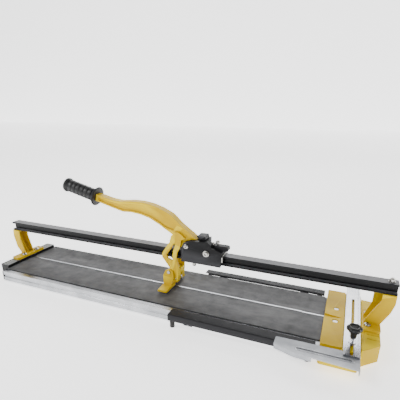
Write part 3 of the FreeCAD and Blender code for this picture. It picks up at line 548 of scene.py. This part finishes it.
def handle_grip():
    """Moulded grip: guard flange, barrel with bands between grooves, rows of dashes, rounded butt."""
    place = pointing(GRIP_START, GRIP_AXIS)
    profile = [(0, 0.2), (24, 0.2), (27.6, 0.9), (28.9, 2.6), (28.4, 4.8), (25.5, 6.6), (21.8, 8.2),
               (19.6, 10.6), (18.6, 14)]
    for band in range(GRIP_BANDS):
        low = GRIP_BAND_START + band * GRIP_BAND
        profile += [(17.0, low), (18.4, low + 0.8), (18.9, low + 2.0), (18.9, low + GRIP_BAND - 2.6),
                    (18.4, low + GRIP_BAND - 1.4), (17.0, low + GRIP_BAND - 0.6)]
    profile += [(18.6, 104), (19.4, 106.2), (20.9, 108), (21.7, 110.5), (21.7, 113.5), (20.8, 116),
                (18.2, 117.6), (12, 118), (0, 118)]
    grid = turned([(radius * MM, height * MM, "round") for radius, height in profile], place, 72)
    stand_in("handle_grip_moulded", meshed("grip_barrel", grid, 50), "handle_grip")
    grow = Grower("grip_dashes", Bands=GRIP_BANDS, Around=GRIP_DASH_ROW, Pitch=GRIP_BAND * MM,
                  Radius=18.7 * MM, Start=(GRIP_BAND_START + GRIP_BAND / 2) * MM,
                  Size=Vector((1.2, 4.6, 1.5)) * MM)
    circle = grow.node("GeometryNodeCurvePrimitiveCircle", {"Resolution": grow.given["Around"],
                                                            "Radius": grow.given["Radius"]})["Curve"]
    spots = grow.node("GeometryNodeCurveToPoints", {"Curve": circle, "Count": grow.given["Around"]},
                      mode="COUNT")
    bar = grow.node("GeometryNodeMeshCube", {"Size": grow.given["Size"]})["Mesh"]
    row = grow.node("GeometryNodeInstanceOnPoints", {"Points": spots["Points"], "Instance": bar,
                                                     "Rotation": spots["Rotation"]})["Instances"]
    first = grow.node("ShaderNodeCombineXYZ", {"Z": grow.given["Start"]})["Vector"]
    offset = grow.node("ShaderNodeCombineXYZ", {"Z": grow.given["Pitch"]})["Vector"]
    line = grow.node("GeometryNodeMeshLine", {"Count": grow.given["Bands"], "Start Location": first,
                                              "Offset": offset})["Mesh"]
    rows = grow.node("GeometryNodeInstanceOnPoints", {"Points": line, "Instance": row})["Instances"]
    dashes = grow.mesh(rows, FINISHES["grip_rubber"])
    dashes.transform(place)
    piece("grip_dashes", dashes, FINISHES["grip_rubber"], "lever", "grip_rubber")


def scoring_wheel():
    """Carbide wheel: bevelled cutting rim, ground cheeks and a small hub."""
    low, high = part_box("scoring_wheel")
    centre = (low + high) / 2
    radius = (high.x - low.x) / 2
    half = (high.y - low.y) / 2
    side = [(radius * 0.30, half), (radius * 0.34, half), (radius * 0.36, half * 0.7),
            (radius * 0.74, half * 0.7),
            (radius * 0.78, half * 0.55), (radius, 0)]
    profile = [(r, h, "round") for r, h in side] + [(r, -h, "round") for r, h in reversed(side[:-1])]
    profile.append((side[0][0], half, "round"))
    grid = turned(profile, pointing(centre, Vector((0, 1, 0))), 64)
    bmesh.ops.remove_doubles(grid, verts=grid.verts, dist=1e-6)
    stand_in("scoring_wheel_ground", meshed("scoring_wheel_ground", grid, 20), "scoring_wheel")


GROOVE_HALF = 4.2
GROOVE_ENDS = ((408.0, -164.75), (522.0, -164.75))
RIM_SIDES = 10


def groove_rim_highlight():
    """Rolled edge around the groove pressed into the fence arm, given the brighter ruler metal as a painted
    highlight.
    """
    left, right = [Vector(end) for end in GROOVE_ENDS]
    along = (right - left).normalized()
    across = Vector((-along.y, along.x))
    path = []
    for centre, first in ((right, -90), (left, 90)):
        for step in range(13):
            angle = math.radians(first + step * 15)
            path.append(centre + (along * math.cos(angle) + across * math.sin(angle)) * GROOVE_HALF)
    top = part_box("fence_arm")[1].z
    grid = bmesh.new()
    rings = []
    for index, point in enumerate(path):
        ahead = (path[(index + 1) % len(path)] - path[index - 1]).normalized()
        side = Vector((ahead.y, -ahead.x, 0.0))
        base = Vector((point.x * MM, point.y * MM, top + 0.05 * MM))
        ring = []
        for step in range(RIM_SIDES):
            angle = math.tau * step / RIM_SIDES
            spot = base + (side * math.cos(angle) * 0.9 + UP * math.sin(angle) * 0.7) * MM
            ring.append(grid.verts.new(spot))
        rings.append(ring)
    for index, ring in enumerate(rings):
        following = rings[(index + 1) % len(rings)]
        for step in range(RIM_SIDES):
            after = (step + 1) % RIM_SIDES
            grid.faces.new((ring[step], ring[after], following[after], following[step]))
    bmesh.ops.recalc_face_normals(grid, faces=grid.faces)
    # Painted highlight: the rim takes the brighter ruler finish instead of the arm's own sheet finish.
    piece("groove_rim_highlight", meshed("groove_rim_highlight", grid, 60), FINISHES["ruler_aluminium"], "fence", "arm_sheet")


# ------------------------------------------------------------------ scales
def scales():
    """Millimetre marks on the two end-bar strips and on the ruler."""
    for index, (low, high) in enumerate(solids("stop_scale_strips")):
        steps = int((high.y - low.y - 4 * MM) / (2.5 * MM))
        start = Vector((high.x - 7 * MM, low.y + 2 * MM, high.z + 0.05 * MM))
        tick_row("stop_scale_marks_%d" % index, start, Vector((0, 2.5 * MM, 0)), steps + 1,
                 Vector((11 * MM, 0.5 * MM, 0.12 * MM)), "base", "scale_strip")
    low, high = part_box("fence_ruler")
    start = Vector((high.x - 5 * MM, low.y + 40 * MM, high.z + 0.02 * MM))
    tick_row("ruler_marks", start, Vector((0, 2.5 * MM, 0)), 117, Vector((7 * MM, 0.35 * MM, 0.1 * MM)),
             "fence", "ruler_aluminium")


# ------------------------------------------------------------------ every other node
EDGE_WIDTHS = {
    "lever_arm": 2.2, "breaker_foot": 1.2, "left_column": 1.6, "right_column": 1.6, "right_base": 1.4,
    "carriage_housing": 1.6, "rail_lug": 1.0, "end_stop_bar": 0.9, "front_extension_bar": 0.9,
    "rear_extension_bar": 0.9, "guide_rail": 0.5, "table_profile": 0.5, "front_pad": 0.5, "rear_pad": 0.5,
    "fence_ruler": 0.12, "fence_arm": 0.2, "breaking_rib": 0.3, "rib_end_piece": 0.3,
}
MADE_ELSEWHERE = {
    "left_column_bolts", "right_column_bolts", "hood_screws", "bottom_screw", "end_bar_bolts",
    "lever_pivot_bolt", "carriage_clamp_bolt", "rail_nut", "clamp_knob", "clamp_stud", "handle_grip",
    "scoring_wheel",
}


def plain_parts():
    for node in sorted(frame["nodes"]):
        if node not in MADE_ELSEWHERE:
            width = EDGE_WIDTHS.get(node, 0.35) * MM
            softened(node, width, 3 if width > MM else 2)


def hardware():
    screws("left_column_bolts", UP, 6 * MM)
    screws("right_column_bolts", UP, 6 * MM)
    screws("hood_screws", UP, 5 * MM)
    screws("bottom_screw", -UP, 8 * MM, "cap")
    screws("end_bar_bolts", Vector((-1, 0, 0)), 4 * MM, "cap")
    screws("lever_pivot_bolt", Vector((0, -1, 0)), 4 * MM)
    screws("carriage_clamp_bolt", Vector((0, -1, 0)), 5 * MM, "cap", 1.5 * MM)
    rail_nut()
    clamp_knob()
    clamp_stud()
    handle_grip()
    scoring_wheel()
    groove_rim_highlight()


# ------------------------------------------------------------------ stage
CAMERA_AT = Vector((0.4596, -0.8449, 0.5506))
CAMERA_YAW = -0.3913
CAMERA_PITCH = -0.3731
CAMERA_ROLL = 0.0026
CAMERA_SHIFT = (-0.0068, 0.108)
SENSOR = 36.0
FOCAL_LENGTH = 31.7484
PAPER_REACH = 14.0
PAPER_GLOW = 1.7
BACKDROP_AT = 9
SKY_STRENGTH = 0.3


def camera():
    data = bpy.data.cameras.new("camera")
    data.sensor_width = SENSOR
    data.lens = FOCAL_LENGTH
    data.shift_x, data.shift_y = CAMERA_SHIFT
    eye = bpy.data.objects.new("camera", data)
    bpy.context.scene.collection.objects.link(eye)
    level = math.cos(CAMERA_PITCH)
    ahead = Vector((math.sin(CAMERA_YAW) * level, math.cos(CAMERA_YAW) * level, math.sin(CAMERA_PITCH)))
    turn = ahead.to_track_quat("-Z", "Y").to_matrix().to_4x4() @ Matrix.Rotation(CAMERA_ROLL, 4, "Z")
    eye.matrix_world = Matrix.Translation(CAMERA_AT) @ turn
    bpy.context.scene.camera = eye


def softbox(name, at, target, size, power):
    data = bpy.data.lights.new(name, "AREA")
    data.shape = "RECTANGLE"
    data.size, data.size_y = size
    data.energy = power
    lamp = bpy.data.objects.new(name, data)
    bpy.context.scene.collection.objects.link(lamp)
    lamp.matrix_world = pointing(Vector(at), Vector(at) - Vector(target))


def paper_sheet(name, material, place):
    """A flat square of the white surroundings."""
    grid = bmesh.new()
    bmesh.ops.create_grid(grid, x_segments=1, y_segments=1, size=PAPER_REACH, matrix=place)
    mesh = bpy.data.meshes.new(name)
    grid.to_mesh(mesh)
    grid.free()
    mesh.materials.append(material)
    sheet = bpy.data.objects.new(name, mesh)
    bpy.context.scene.collection.objects.link(sheet)


def stage():
    paper = Finish("white_paper", roughness=0.9, specular=0.1)
    paper.colour(paper.blend(paper.noise(3, 2), (0.93, 0.93, 0.93), (0.95, 0.95, 0.95)))
    paper.shader.inputs["Emission Color"].default_value = (1.0, 1.0, 1.0, 1.0)
    paper.shader.inputs["Emission Strength"].default_value = PAPER_GLOW
    paper_sheet("floor", paper.material, Matrix.Identity(4))
    upright = Matrix.Translation((0, BACKDROP_AT, 0)) @ Matrix.Rotation(math.radians(90), 4, "X")
    paper_sheet("backdrop", paper.material, upright)
    world = bpy.data.worlds.new("studio")
    world.use_nodes = True
    sky = world.node_tree.nodes["Background"]
    sky.inputs["Color"].default_value = (1.0, 1.0, 1.0, 1.0)
    sky.inputs["Strength"].default_value = SKY_STRENGTH
    bpy.context.scene.world = world
    softbox("key", (-1.6, -1.5, 2.2), (0, 0, 0.1), (1.2, 0.8), 62)
    softbox("fill", (2.0, -1.8, 1.4), (0.1, 0, 0.1), (1.4, 1.4), 10)
    softbox("back", (-0.4, 2.2, 1.9), (0, 0, 0.1), (2.6, 0.9), 18)


plain_parts()
hardware()
scales()
camera()
stage()
